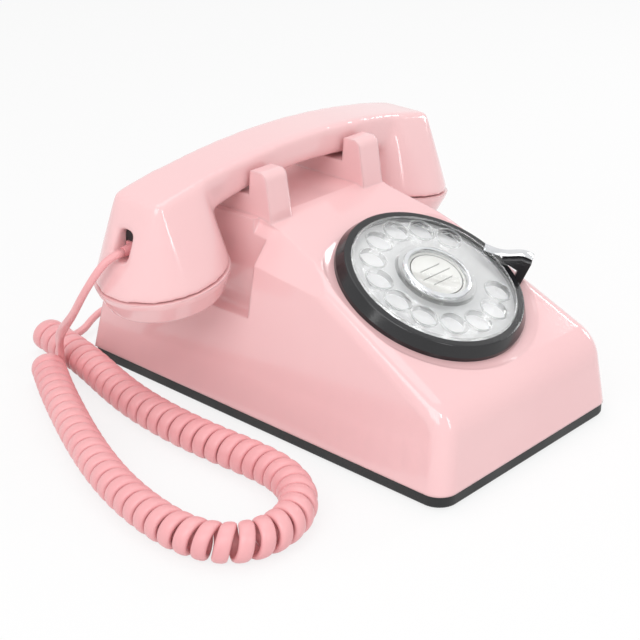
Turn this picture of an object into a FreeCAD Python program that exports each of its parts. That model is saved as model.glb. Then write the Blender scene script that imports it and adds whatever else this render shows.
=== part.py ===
import FreeCAD, Part
import math
import os
import re
import Sketcher
from FreeCAD import Placement, Rotation, Vector

doc = FreeCAD.newDocument("telephone")
sheet = doc.addObject("Spreadsheet::Sheet", "sizes")

# Driving dimensions in millimetres and degrees. X runs to the right, -Y is the dial side, Z is up.
SIZES = {
    # base and housing
    "foot_height": 3.0, "foot_radius": 7.0, "screw_radius": 1.8, "foot_inset_x": 46.0, "foot_inset_y": 90.0,
    "plate_thick": 3.5, "plate_inset": 2.0, "plate_corner": 10.0,
    "half_width": 61.0, "half_depth": 107.0, "wall": 3.4, "side_lean": 9.5, "top_line": 150.0,
    "front_lean": 3.0, "front_top": 39.5, "front_round": 18.0, "face_break_y": -20.0, "face_break_z": 79.6,
    "ear_front_y": 9.0, "saddle_z": 89.5, "saddle_back_y": 64.0, "rear_top_z": 50.0, "rear_lean": 6.0,
    "rear_round": 14.0, "edge_round": 9.0, "shoulder_z": 49.0, "hump_low": 43.0, "hump_high": 37.6,
    "pocket_round": 7.0, "shoulder_fall": 4.5, "shoulder_drop": 16.5,
    "ear_inner_x": 24.0, "ear_outer_x": 37.0, "ear_top": 110.0, "ear_back_y": 22.8, "ear_lean": 4.5,
    "ear_round": 4.0, "seat_z": 98.4, "rear_ear_y": 55.6, "rear_ear_back": 65.0, "rear_ear_top": 107.0,
    # dial
    "dial_y": -52.5, "dial_z": 70.6, "dial_tilt": 25.5, "wheel_radius": 38.0, "wheel_thick": 2.6,
    "hole_radius": 5.7, "hole_circle": 28.8, "hole_first": 30.0, "hole_step": 26.0, "hole_count": 12,
    "face_drop": 5.5, "dish_radius": 51.0, "dish_depth": 2.0, "dish_sag": 1.0, "bezel_radius": 44.0,
    "bezel_top_radius": 41.4, "bezel_bore": 38.5, "bezel_rise": 4.6,
    "number_plate_thick": 1.5, "run_gap": 0.3,
    "hub_radius": 19.0, "hub_rise": 2.4, "ring_radius": 15.6, "ring_bore": 13.8, "card_radius": 13.6,
    "spindle_radius": 3.0, "spindle_fit": 0.05, "chassis_radius": 36.8, "chassis_thick": 1.6,
    "switch_depth": 12.0, "switch_height": 12.5, "switch_back": 14.0, "leaf_length": 22.0,
    "leaf_thick": 0.8, "part_side": 16.0,
    "gear_radius": 16.4, "gear_teeth": 36, "gear_thick": 2.0, "gear_gap": 1.2,
    "pinion_radius": 4.0, "pinion_teeth": 8, "shaft_radius": 1.2, "tooth_depth": 1.6,
    "cup_radius": 8.5, "cup_wall": 1.0, "cup_height": 8.0, "weight_radius": 6.0, "weight_thick": 3.0,
    "stop_width": 5.0,
    # handset
    "handset_y": 39.0, "bar_half": 14.0, "bar_top": 116.5, "bar_low": 101.8, "bar_arc": 400.0,
    "under_arc": 225.0, "grip_round": 5.0,
    "top_end_x": 89.0, "top_root_x": 62.0, "cup_x": 75.5, "rim_radius": 30.0, "rim_z": 70.0, "rim_cant": 9.0,
    "cap_height": 11.5, "cap_low_radius": 25.5, "cap_wall": 2.4, "corner_round": 2.5, "cup_bore": 24.6,
    "bore_depth": 6.0, "capsule_radius": 22.0, "capsule_thick": 9.0,
    "socket_width": 8.6, "socket_height": 13.0, "socket_depth": 11.0, "socket_z": 87.0, "socket_y": 40.5,
    "socket_face_x": 90.0, "plug_width": 6.6, "plug_height": 6.0, "tail_z": 84.5,
    "boot_x": 96.0, "boot_length": 5.0, "boot_radius": 2.7,
    # plungers and hook switch
    "plunger_x": 30.5, "plunger_y": 39.0, "plunger_radius": 4.0, "plunger_fit": 0.08, "plunger_up": 4.0,
    "plunger_rest_gap": 0.3,
    # inside
    "board_thick": 1.6, "board_width": 62.0, "board_depth": 66.0, "board_y": -46.0, "board_lift": 5.0,
    "gong_radius": 22.0, "gong_height": 15.0, "gong_wall": 1.4, "gong_x": 27.0, "gong_y": 52.0,
    "gong_lift": 11.0,
    "jack_width": 13.0, "jack_height": 12.0, "jack_depth": 15.0, "jack_z": 14.0, "cord_jack_x": -24.0,
    "line_jack_x": 30.0,
    # cord
    "wire": 4.0, "coil_radius": 6.2, "coil_turns": 60.25, "axis_z": 8.3,
}
for row, (name, value) in enumerate(SIZES.items(), start=1):
    sheet.set("A%d" % row, name)
    sheet.set("B%d" % row, str(value))
    sheet.setAlias("B%d" % row, name)
doc.recompute()

ALIAS = re.compile(r"\b(" + "|".join(sorted(SIZES, key=len, reverse=True)) + r")\b")
PLANES = {
    "XY": Rotation(),
    "XZ": Rotation(Vector(1, 0, 0), 90),
    "YZ": Rotation(Vector(1, 1, 1), 120),
}
parts = {}
names = iter(range(1, 10000))


def size(text):
    """Value of a formula in sheet names."""
    value = sheet.evalExpression(formula(text))
    return float(getattr(value, "Value", value))


def formula(text):
    """The same formula with each name written as a cell of the sheet."""
    return ALIAS.sub(r"sizes.\1", str(text))


def make(kind, **bound):
    """A document object of one kind, with its properties bound to formulas."""
    thing = doc.addObject(kind, "piece%d" % next(names))
    for prop, text in bound.items():
        thing.setExpression(prop, formula(text))
    return thing


def place(thing, x="0", y="0", z="0", axis=(1, 0, 0), angle="0", frame=""):
    """Binds a placement; the dial frame is the wheel's top centre, tilted about X."""
    local = "create(<<placement>>; create(<<vector>>; %s; %s; %s); create(<<rotation>>; " % (x, y, z)
    local += "create(<<vector>>; %g; %g; %g); %s))" % (axis[0], axis[1], axis[2], angle)
    if frame == "dial":
        dial = "create(<<placement>>; create(<<vector>>; 0; dial_y; dial_z); create(<<rotation>>; "
        local = dial + "create(<<vector>>; 1; 0; 0); dial_tilt)) * " + local
    thing.setExpression("Placement", formula(local))
    return thing


def corner_arc(before, here, after, radius):
    """Tangent points and centre of the arc that rounds one corner of an outline."""
    back = (before - here).normalize()
    on = (after - here).normalize()
    half = back.getAngle(on) / 2
    reach = radius / math.tan(half)
    middle = (back + on).normalize() * (radius / math.sin(half))
    return here + back * reach, here + on * reach, here + middle


def outline(corners, plane="XY", **where):
    """Closed sketch through corners of two formulas each, with a third where a corner is rounded."""
    sketch = doc.addObject("Sketcher::SketchObject", "outline%d" % next(names))
    spots = [Vector(size(c[0]), size(c[1]), 0) for c in corners]
    count = len(corners)
    starts, ends, arcs = list(spots), list(spots), {}
    for i, corner in enumerate(corners):
        if len(corner) == 3:
            ends[i], starts[i], centre = corner_arc(spots[i - 1], spots[i], spots[(i + 1) % count],
                                                    size(corner[2]))
            arcs[i] = centre
    lines = [sketch.addGeometry(Part.LineSegment(starts[i], ends[(i + 1) % count])) for i in range(count)]
    for i, corner in enumerate(corners):
        before, after = lines[i - 1], lines[i]
        if i in arcs:
            first, last, centre = ends[i], starts[i], arcs[i]
            turn = (spots[i] - spots[i - 1]).cross(spots[(i + 1) % count] - spots[i]).z
            one, two = (first, last) if turn > 0 else (last, first)
            circle = Part.Circle(centre, Vector(0, 0, 1), size(corner[2]))
            begin = math.atan2(one.y - centre.y, one.x - centre.x)
            finish = math.atan2(two.y - centre.y, two.x - centre.x)
            arc = sketch.addGeometry(Part.ArcOfCircle(circle, begin, finish))
            head, tail = (1, 2) if turn > 0 else (2, 1)
            sketch.addConstraint(Sketcher.Constraint("Tangent", before, 2, arc, head))
            sketch.addConstraint(Sketcher.Constraint("Tangent", arc, tail, after, 1))
            radius = sketch.addConstraint(Sketcher.Constraint("Radius", arc, size(corner[2])))
            sketch.setExpression("Constraints[%d]" % radius, formula(corner[2]))
            mark = sketch.addGeometry(Part.Point(spots[i]), True)
            sketch.addConstraint(Sketcher.Constraint("PointOnObject", mark, 1, before))
            sketch.addConstraint(Sketcher.Constraint("PointOnObject", mark, 1, after))
        else:
            sketch.addConstraint(Sketcher.Constraint("Coincident", before, 2, after, 1))
            mark = after
        for kind, text, line in (("DistanceX", corner[0], -2), ("DistanceY", corner[1], -1)):
            if str(text) == "0":
                sketch.addConstraint(Sketcher.Constraint("PointOnObject", mark, 1, line))
                continue
            at = sketch.addConstraint(Sketcher.Constraint(kind, -1, 1, mark, 1, size(text)))
            sketch.setExpression("Constraints[%d]" % at, formula(text))
    turn = PLANES[plane]
    axis = (turn.Axis.x, turn.Axis.y, turn.Axis.z)
    place(sketch, axis=axis, angle=str(math.degrees(turn.Angle)), **where)
    return sketch


def extrude(sketch, forward, backward="0", direction=None):
    """Solid pushed out of a sketch along its normal, or along a direction of three numbers."""
    solid = make("Part::Extrusion", LengthFwd=forward, LengthRev=backward)
    solid.Base = sketch
    solid.Solid = True
    solid.DirMode = "Normal"
    if direction:
        solid.DirMode = "Custom"
        solid.Dir = direction
    return solid


def spin(corners, frame="", **where):
    """Solid of revolution about its own Z axis; corners are radius and height."""
    sketch = outline(corners, "XZ")
    solid = doc.addObject("Part::Revolution", "turned%d" % next(names))
    solid.Source = sketch
    solid.Axis = Vector(0, 0, 1)
    solid.Angle = 360
    solid.Solid = True
    return moved(solid, frame=frame, **where)


def moved(thing, frame="", **where):
    """The same solid carried to a bound placement."""
    if not frame and not where:
        return thing
    holder = doc.addObject("Part::Compound", "carried%d" % next(names))
    holder.Links = [thing]
    return place(holder, frame=frame, **where)


def drum(radius, height, **where):
    """Cylinder with its foot at the given placement."""
    return place(make("Part::Cylinder", Radius=radius, Height=height), **where)


def block(length, width, height, x="0", y="0", z="0", **where):
    """Box centred on x and y with its foot at z."""
    box = make("Part::Box", Length=length, Width=width, Height=height)
    return place(box, x="%s - (%s) / 2" % (x, length), y="%s - (%s) / 2" % (y, width), z=z, **where)


def cut(body, *tools):
    """Body less each tool."""
    for tool in tools:
        less = doc.addObject("Part::Cut", "less%d" % next(names))
        less.Base = body
        less.Tool = tool
        body = less
    return body


def join(*solids):
    """One solid from several that touch."""
    whole = doc.addObject("Part::MultiFuse", "joined%d" % next(names))
    whole.Shapes = list(solids)
    whole.Refine = True
    return whole


def common(*solids):
    """What several solids share."""
    shared = doc.addObject("Part::MultiCommon", "shared%d" % next(names))
    shared.Shapes = list(solids)
    return shared


def group(*solids):
    """Several like pieces kept in one node."""
    kit = doc.addObject("Part::Compound", "kit%d" % next(names))
    kit.Links = list(solids)
    return kit


def coded(shape, where=None):
    """A solid made in code where no bound feature fits."""
    thing = doc.addObject("Part::Feature", "formed%d" % next(names))
    thing.Shape = shape
    if where:
        thing.Placement = where
    return thing


def part(name, thing):
    """Names a finished sub-part."""
    thing.Label = name
    parts[name] = thing
    return thing


HOUSE_FOOT = "foot_height + plate_thick"


def body_form(inset, foot):
    """Side outline pushed across the width, trimmed by leaning walls and the two cup pockets."""
    lean = "tan(side_lean)"
    face = [
        ("-half_depth + " + inset, foot),
        ("half_depth - " + inset, foot),
        ("half_depth - rear_lean - " + inset, "rear_top_z - " + inset, "rear_round - " + inset),
        ("saddle_back_y - " + inset, "saddle_z - " + inset, "rear_round"),
        ("ear_front_y + 6 + " + inset, "saddle_z - " + inset),
        ("face_break_y", "face_break_z - %s * 1.1" % inset),
        ("-half_depth + front_lean + " + inset, "front_top - %s * 1.1" % inset, "front_round - " + inset),
    ]
    long_block = extrude(outline(face, "YZ"), "half_width + 5", "half_width + 5")
    low = "half_width - " + inset
    high = "half_width - %s - (top_line - %s) * %s" % (inset, HOUSE_FOOT, lean)
    walls = extrude(outline([
        ("-(%s)" % low, HOUSE_FOOT), (low, HOUSE_FOOT), (high, "top_line"), ("-(%s)" % high, "top_line"),
    ], "XZ"), "half_depth + 20", "half_depth + 20")
    walled = common(long_block, walls)
    return walled


def cup_pockets(inset):
    """Room for the two handset cups, open at the sides and the rear."""
    tools = []
    for side in ("-1", "1"):
        tools.append(extrude(outline([
            ("%s * (hump_low - %s)" % (side, inset), "shoulder_z - %s" % inset, "pocket_round"),
            ("%s * (half_width + 20)" % side, "shoulder_z - %s" % inset),
            ("%s * (half_width + 20)" % side, "top_line"),
            ("%s * (hump_high - %s)" % (side, inset), "top_line"),
        ], "XZ", y="ear_front_y - %s" % inset), "0", "half_depth * 2"))
    return tools


def shoulder_slopes(inset):
    """Slanting facets that fall from the ears to the side walls ahead of the cups."""
    tools = []
    fall = math.tan(math.radians(size("shoulder_fall")))
    for side in ("-1", "1"):
        tools.append(extrude(outline([
            ("%s * (hump_high - %s)" % (side, inset), "saddle_z - 2 - %s" % inset),
            ("%s * (hump_high + 2 * shoulder_drop - %s)" % (side, inset),
             "saddle_z - 2 - 2.4 * shoulder_drop - %s" % inset),
            ("%s * (hump_high + 2 * shoulder_drop + 20)" % side, "top_line"),
            ("%s * (hump_high - %s)" % (side, inset), "top_line"),
        ], "XZ", y="ear_front_y + 8"), "90", "0", Vector(0, -1, -fall)))
    return tools


def cradle_ear(side):
    """Front ear, seat and rear ear in one side outline."""
    ear = outline([
        ("ear_front_y", "saddle_z - 8"),
        ("rear_ear_back + 1", "saddle_z - 8"),
        ("rear_ear_back - 1", "rear_ear_top", "ear_round - 1"),
        ("rear_ear_y + 2", "rear_ear_top", "ear_round - 2"),
        ("rear_ear_y", "seat_z"),
        ("ear_back_y + 0.8", "seat_z"),
        ("ear_back_y", "ear_top", "ear_round / 4"),
        ("ear_front_y + ear_lean", "ear_top", "ear_round"),
    ], "YZ", x=("ear_inner_x" if side > 0 else "-ear_outer_x"))
    return extrude(ear, "ear_outer_x - ear_inner_x")


def rounded_edges(body, radius, wanted):
    """Fillet of the edges whose middle point a test picks."""
    doc.recompute()
    chosen = []
    for index, edge in enumerate(body.Shape.Edges, start=1):
        if wanted(edge.valueAt((edge.FirstParameter + edge.LastParameter) / 2)):
            chosen.append((index, radius, radius))
    fillet = doc.addObject("Part::Fillet", "rounded%d" % next(names))
    fillet.Base = body
    fillet.Edges = chosen
    return fillet


def on_wall(point):
    """True on an edge that lies in a leaning side wall, above the foot."""
    wall_x = size("half_width") - (point.z - size(HOUSE_FOOT)) * math.tan(math.radians(size("side_lean")))
    return abs(abs(point.x) - wall_x) < 0.4 and point.z > size(HOUSE_FOOT) + 1


def side_edge(point):
    """True on the two long edges from the front foot over the dial face."""
    return on_wall(point) and point.y < size("ear_front_y")


def rear_edge(point):
    """True on the two upright corners at the rear."""
    return on_wall(point) and point.y > size("half_depth") - size("rear_lean") and point.z < size("rear_top_z") / 2


# Moulded housing: a hollow shell with the dish for the dial, two cup pockets and four ears.
outer = rounded_edges(body_form("0", HOUSE_FOOT), size("edge_round"), lambda p: side_edge(p) or rear_edge(p))
outer = cut(outer, *(cup_pockets("0") + shoulder_slopes("0")))
outer = join(outer, cradle_ear(1), cradle_ear(-1))
hollow = cut(body_form("wall", HOUSE_FOOT + " - 1"), *(cup_pockets("wall") + shoulder_slopes("wall")))
dish = spin([
    ("0", "-face_drop - dish_depth"),
    ("bezel_radius + 0.2", "-face_drop - dish_depth"),
    ("dish_radius - 2.4", "-face_drop - dish_depth + dish_sag", "3"),
    ("dish_radius", "-face_drop"),
    ("dish_radius", "20"),
    ("0", "20"),
], frame="dial")
throat = drum("chassis_radius + 0.2", "40", z="-34", frame="dial")
plunger_holes = [drum("plunger_radius + plunger_fit", "60", x="%d * plunger_x" % side, y="plunger_y", z="60")
                 for side in (1, -1)]
jack_holes = [block("jack_width", "30", "jack_height", x=x, y="half_depth - 4", z="jack_z - jack_height / 2")
              for x in ("cord_jack_x", "line_jack_x")]
part("housing", cut(outer, hollow, dish, throat, *(plunger_holes + jack_holes)))

# Base plate with board posts, its feet and screws.
plate_x = "(half_width - plate_inset)"
plate_y = "(half_depth - plate_inset)"
plate = extrude(outline([
    ("-" + plate_x, "-" + plate_y, "plate_corner"), (plate_x, "-" + plate_y, "plate_corner"),
    (plate_x, plate_y, "plate_corner"), ("-" + plate_x, plate_y, "plate_corner"),
], "XY", z="foot_height"), "plate_thick")
board_spots = [("%d * (board_width / 2 - 4)" % i, "board_y + %d * (board_depth / 2 - 4)" % j)
               for i in (-1, 1) for j in (-1, 1)]
posts = [drum("3", "board_lift + 0.5", x=x, y=y, z=HOUSE_FOOT + " - 0.5") for x, y in board_spots]
foot_spots = [("%d * foot_inset_x" % i, "%d * foot_inset_y" % j) for i in (-1, 1) for j in (-1, 1)]
part("base_plate", join(plate, *posts))
part("base_feet", group(*[
    spin([("screw_radius", "0"), ("foot_radius - 1", "0", "0.6"), ("foot_radius", "foot_height"),
          ("screw_radius", "foot_height")], x=x, y=y) for x, y in foot_spots]))
part("base_screws", group(*[
    drum("screw_radius - 0.05", "foot_height - 0.6", x=x, y=y, z="0.6") for x, y in foot_spots]))

# Dial: bezel, number plate and chassis are fixed; the wheel turns on the spindle.
LEDGE = "-(face_drop + dish_depth)"
part("dial_bezel", spin([
    ("bezel_bore", LEDGE), ("bezel_radius", LEDGE), ("bezel_radius", "-face_drop"),
    ("bezel_top_radius", "bezel_rise - face_drop", "0.8"), ("bezel_bore", "bezel_rise - face_drop"),
], frame="dial"))
spindle_hole = drum("spindle_radius + spindle_fit", "40", z="-30", frame="dial")
part("number_plate", cut(drum("bezel_bore - 0.1", "number_plate_thick", z=LEDGE, frame="dial"), spindle_hole))
chassis = drum("chassis_radius", "chassis_thick", z=LEDGE + " - chassis_thick", frame="dial")
GEAR_TOP = LEDGE + " - chassis_thick - gear_gap"
AXLE = "(gear_radius + pinion_radius + 2 * tooth_depth + run_gap)"
shaft_hole = drum("shaft_radius + spindle_fit", "40", y=AXLE, z="-30", frame="dial")
part("dial_chassis", cut(chassis, spindle_hole, shaft_hole))

wheel = spin([
    ("0", "-wheel_thick"), ("wheel_radius", "-wheel_thick", "0.6"), ("wheel_radius", "0", "0.8"),
    ("hub_radius", "0"), ("hub_radius - 1.2", "hub_rise / 2", "0.5"), ("ring_radius + 0.4", "hub_rise / 2"),
    ("ring_radius + 0.2", "0"), ("0", "0"),
], frame="dial")
finger_holes = []
for number in range(int(size("hole_count"))):
    turn = "(hole_first + %d * hole_step)" % number
    finger_holes.append(drum("hole_radius", "wheel_thick + 4", x="hole_circle * cos(%s * 1deg)" % turn,
                             y="hole_circle * sin(%s * 1deg)" % turn, z="-wheel_thick - 2", frame="dial"))
part("finger_wheel", cut(wheel, group(*finger_holes)))
part("hub_ring", spin([
    ("ring_bore", "0"), ("ring_radius", "0"), ("ring_radius", "hub_rise - 0.4", "0.3"),
    ("ring_radius - 0.9", "hub_rise", "0.3"), ("ring_bore", "hub_rise"),
], frame="dial"))
part("number_card", drum("card_radius", "0.4", frame="dial"))
part("card_window", spin([
    ("0", "0.4"), ("card_radius", "0.4"), ("card_radius", "1.4"), ("card_radius - 3", "1.9"), ("0", "1.9"),
], frame="dial"))
part("dial_spindle", spin([
    ("0", GEAR_TOP + " - gear_thick - 3"), ("spindle_radius", GEAR_TOP + " - gear_thick - 3"),
    ("spindle_radius", "-wheel_thick - 1.4"), ("spindle_radius + 3", "-wheel_thick - 1.4"),
    ("spindle_radius + 3", "-wheel_thick"), ("0", "-wheel_thick"),
], frame="dial"))


def toothed_wheel(radius, teeth, thick, bore):
    """Flat gear whose teeth stand on a rim, with straight flanks."""
    depth = size("tooth_depth")
    points = []
    for tooth in range(int(teeth)):
        for share, reach in ((0.0, 0.0), (0.22, depth), (0.48, depth), (0.7, 0.0)):
            turn = 2 * math.pi * (tooth + share) / teeth
            points.append(Vector((radius + reach) * math.cos(turn), (radius + reach) * math.sin(turn), 0))
    rim = Part.Face(Part.makePolygon(points + points[:1]))
    solid = rim.extrude(Vector(0, 0, thick))
    return solid.cut(Part.makeCylinder(bore, thick))


def dial_frame(x, y, z):
    """Placement of a point of the dial frame."""
    turn = Rotation(Vector(1, 0, 0), size("dial_tilt"))
    return Placement(Vector(0, size("dial_y"), size("dial_z")) + turn.multVec(Vector(x, y, z)), turn)


gear_z = size(GEAR_TOP) - size("gear_thick")
part("main_gear", coded(toothed_wheel(size("gear_radius"), size("gear_teeth"), size("gear_thick"),
                                      size("spindle_radius")), dial_frame(0, 0, gear_z)))
axle_y = size(AXLE)
part("governor_pinion", coded(toothed_wheel(size("pinion_radius"), size("pinion_teeth"), size("gear_thick"),
                                            size("shaft_radius")), dial_frame(0, axle_y, gear_z)))
part("governor_shaft", drum("shaft_radius", "chassis_thick + gear_gap + gear_thick + cup_height + 1",
                            y=AXLE, z=GEAR_TOP + " - gear_thick - cup_height - 1", frame="dial"))
weight_z = GEAR_TOP + " - gear_thick - cup_height + 1"
part("governor_weights", cut(
    block("2 * weight_radius", "weight_thick", "4", y=AXLE, z=weight_z, frame="dial"),
    drum("shaft_radius", "20", y=AXLE, z=weight_z + " - 5", frame="dial")))
cup_z = GEAR_TOP + " - gear_thick - cup_height"
arm = block("8", "1.6", "-(%s) + (%s)" % (cup_z, LEDGE + " - chassis_thick"), x="0",
            y=AXLE + " + cup_radius + cup_wall - 0.2", z=cup_z, frame="dial")
cup = cut(drum("cup_radius + cup_wall", "cup_height - 1", y=AXLE, z=cup_z, frame="dial"),
          drum("cup_radius", "cup_height", y=AXLE, z=cup_z + " + 0", frame="dial"))
part("governor_cup", join(cup, arm))
contact_z = GEAR_TOP + " - gear_thick"
part("pulse_contacts", group(*[
    block("16", "0.5", "gear_gap + gear_thick + 2", x="0", y="-gear_radius - tooth_depth - 1.5 - %d * 1.4" % leaf,
          z=contact_z + " - 2", frame="dial") for leaf in range(3)]))

STOP_X, STOP_Y = "wheel_radius + 5", "27 - wheel_radius"
STOP_TURN = 120.9


def stop_piece(points):
    """Side outline of the finger stop, thickened across and set along the rim."""
    wire = Part.makePolygon([Vector(x, 0, z) for x, z in points + points[:1]])
    width = size("stop_width")
    solid = Part.Face(wire).extrude(Vector(0, width, 0))
    solid.translate(Vector(0, -width / 2, 0))
    along = Placement(Vector(), Rotation(Vector(0, 0, 1), STOP_TURN))
    return coded(solid, dial_frame(size(STOP_X), size(STOP_Y), 0).multiply(along))


foot_w = size(LEDGE) + 0.4
post_form = stop_piece([(-6.5, foot_w), (-3, foot_w), (-2.4, 0.2), (6, 1.6), (-2, 6.2), (-6.5, 6.4)])
part("stop_post", cut(post_form, parts["dial_bezel"]))
part("finger_stop", stop_piece([(-6.5, 6.4), (-2, 6.2), (6, 1.6), (10, 1.0), (15, 1.0), (15, 2.0), (10, 2.6),
                                (6.5, 3.8), (1, 7.4), (-4, 8.6), (-6.8, 7.6)]))

# Hook plungers, the bar that joins them and the switch under the saddle.
bar_z = "saddle_z - wall - plunger_up - 4.6"
for label, side in (("plunger_right", 1), ("plunger_left", -1)):
    part(label, spin([
        ("0", bar_z + " + 4"), ("plunger_radius", bar_z + " + 4"),
        ("plunger_radius", "seat_z + plunger_rest_gap - 0.1", "0.8"), ("0", "seat_z + plunger_rest_gap - 0.1"),
    ], x="%d * plunger_x" % side, y="plunger_y"))
part("plunger_bar", block("2 * plunger_x", "6", "4", y="plunger_y", z=bar_z))
switch_z = "saddle_z - wall - switch_height"
switch_form = join(
    block("2 * switch_depth", "switch_depth", "switch_height", y="plunger_y + switch_back", z=switch_z),
    block("switch_depth / 2", "leaf_length", "leaf_thick", y="plunger_y + leaf_length / 4", z=switch_z))
part("hook_switch", cut(switch_form, parts["housing"]))

# Circuit board with its large parts, and the ringer.
board_z = HOUSE_FOOT + " + board_lift"
part("circuit_board", block("board_width", "board_depth", "board_thick", y="board_y", z=board_z))
parts_z = board_z + " + board_thick"
part("board_parts", group(
    block("18", "part_side", "14", x="-part_side", y="board_y + 14", z=parts_z),
    drum("5", "12", x="12", y="board_y + part_side", z=parts_z),
    drum("4", "9", x="20", y="board_y - 4", z=parts_z),
    block("20", "part_side / 2", "6", x="-part_side / 2", y="board_y - part_side", z=parts_z)))
frame_plate = block("2 * gong_x + 16", "48", "1.6", y="gong_y - 16", z=HOUSE_FOOT)
stalks = [drum("2.5", "gong_lift + gong_height", x="%d * gong_x" % side, y="gong_y", z=HOUSE_FOOT)
          for side in (1, -1)]
part("ringer_frame", join(frame_plate, *stalks))
gong_z = HOUSE_FOOT + " + gong_lift"
for label, side in (("gong_right", 1), ("gong_left", -1)):
    part(label, spin([
        ("gong_radius - gong_wall", gong_z), ("gong_radius", gong_z),
        ("gong_radius", gong_z + " + gong_height", "9"),
        ("2.5", gong_z + " + gong_height"), ("2.5", gong_z + " + gong_height - gong_wall"),
        ("gong_radius - gong_wall", gong_z + " + gong_height - gong_wall", "9 - gong_wall"),
    ], x="%d * gong_x" % side, y="gong_y"))
part("ringer_coil", drum("7", "34", x="-17", y="gong_y - 32", z=HOUSE_FOOT + " + 1.6 + 7",
                         axis=(0, 1, 0), angle="90"))
hammer_y = "gong_y - 22"
pin = drum("1.5", "gong_lift + 8", y=hammer_y, z=HOUSE_FOOT + " + 1.6")
part("clapper_pin", pin)
hammer_z = HOUSE_FOOT + " + gong_lift + 3"
hammer = join(drum("3.5", "3", y=hammer_y, z=hammer_z),
              block("1.6", "18", "1.6", y=hammer_y + " + 11", z=hammer_z + " + 0.7"),
              drum("2.4", "5", y="gong_y", z=hammer_z + " - 1"))
part("ringer_clapper", cut(hammer, drum("1.55", "9", y=hammer_y, z=hammer_z + " - 2")))

# Jacks in the rear wall.
for label, x in (("cord_jack", "cord_jack_x"), ("line_jack", "line_jack_x")):
    shell = block("jack_width", "jack_depth", "jack_height", x=x, y="half_depth - 1.6 - jack_depth / 2",
                  z="jack_z - jack_height / 2")
    mouth = block("jack_width - 4", "jack_depth", "jack_height - 4", x=x, y="half_depth - jack_depth / 2 + 2.5",
                  z="jack_z - jack_height / 2 + 2")
    part(label, cut(shell, mouth))


# Handset: an arched bar between two square-to-round ends.
def arc_height(x, crown, radius):
    """Height of a circular arch at a distance from its crown."""
    return crown - radius + math.sqrt(radius * radius - x * x)


def bar_form():
    """Arched grip: the outline between two arcs, pushed across the grip's width and rounded below."""
    reach, top, low = size("top_end_x"), size("bar_top"), size("bar_low")
    curve, under = size("bar_arc"), size("under_arc")
    root = size("top_root_x") - 2
    left, right = Vector(-reach, 0, arc_height(reach, top, curve)), Vector(reach, 0, arc_height(reach, top, curve))
    low_left = Vector(-root, 0, arc_height(root, low, under))
    low_right = Vector(root, 0, arc_height(root, low, under))
    end_z = low_left.z
    edges = [Part.Arc(left, Vector(0, 0, top), right).toShape(),
             Part.LineSegment(right, Vector(reach, 0, end_z)).toShape(),
             Part.LineSegment(Vector(reach, 0, end_z), low_right).toShape(),
             Part.Arc(low_right, Vector(0, 0, low), low_left).toShape(),
             Part.LineSegment(low_left, Vector(-reach, 0, end_z)).toShape(),
             Part.LineSegment(Vector(-reach, 0, end_z), left).toShape()]
    half = size("bar_half")
    solid = Part.Face(Part.Wire(edges)).extrude(Vector(0, 2 * half, 0))
    solid.translate(Vector(0, -half, 0))
    lower = [e for e in solid.Edges if e.Length > root and
             abs(e.CenterOfMass.x) < 1 and e.CenterOfMass.z < low + 1]
    return solid.makeFillet(size("grip_round"), lower)


def end_form(side):
    """Loft from the bar's flat top to the round rim, with a fan at each corner."""
    near, far = size("top_root_x"), size("top_end_x")
    half, bend = size("bar_half"), size("corner_round")
    top, curve = size("bar_top"), size("bar_arc")
    slope = (arc_height(far, top, curve) - arc_height(near, top, curve)) / (far - near)

    def lid(x, y):
        return Vector(side * x, y, arc_height(near, top, curve) + slope * (x - near))

    cant = math.radians(size("rim_cant"))
    centre = Vector(side * size("cup_x"), 0, size("rim_z"))
    outward = Vector(side * math.cos(cant), 0, -math.sin(cant))
    across = Vector(0, 1, 0)

    def rim(turn):
        turn = math.radians(turn)
        return centre + (outward * math.cos(turn) + across * math.sin(turn)) * size("rim_radius")

    mid_x = (near + far) / 2
    reach_x = (far - near) / 2
    lid_edges, rim_edges = [], []
    fan, flat = 41.0, 4.0
    for quarter, (sx, sy) in enumerate(((1, 1), (-1, 1), (-1, -1), (1, -1))):
        corner_x, corner_y = mid_x + sx * reach_x, sy * half
        first, last = lid(corner_x, corner_y - sy * bend), lid(corner_x - sx * bend, corner_y)
        if quarter % 2:
            first, last = last, first
        soft = bend * (1 - math.sqrt(0.5))
        lid_edges.append(Part.Arc(first, lid(corner_x - sx * soft, corner_y - sy * soft), last).toShape())
        turn = 45 + 90 * quarter
        rim_edges.append(Part.Arc(rim(turn - fan), rim(turn), rim(turn + fan)).toShape())
        nx, ny = ((-1, 1), (-1, -1), (1, -1), (1, 1))[quarter]
        if quarter % 2 == 0:
            follow = lid(mid_x + nx * (reach_x - bend), ny * half)
        else:
            follow = lid(mid_x + nx * reach_x, ny * (half - bend))
        lid_edges.append(Part.LineSegment(last, follow).toShape())
        rim_edges.append(Part.Arc(rim(turn + fan), rim(turn + fan + flat), rim(turn + fan + 2 * flat)).toShape())
    return Part.makeLoft([Part.Wire(lid_edges), Part.Wire(rim_edges)], True, True)


def rim_frame(side, depth=0.0):
    """Placement on a rim's axis, with Z pointing up into the handset."""
    turn = Rotation(Vector(0, 1, 0), side * size("rim_cant"))
    return Placement(Vector(side * size("cup_x"), size("handset_y"), size("rim_z")) +
                     turn.multVec(Vector(0, 0, depth)), turn)


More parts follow.
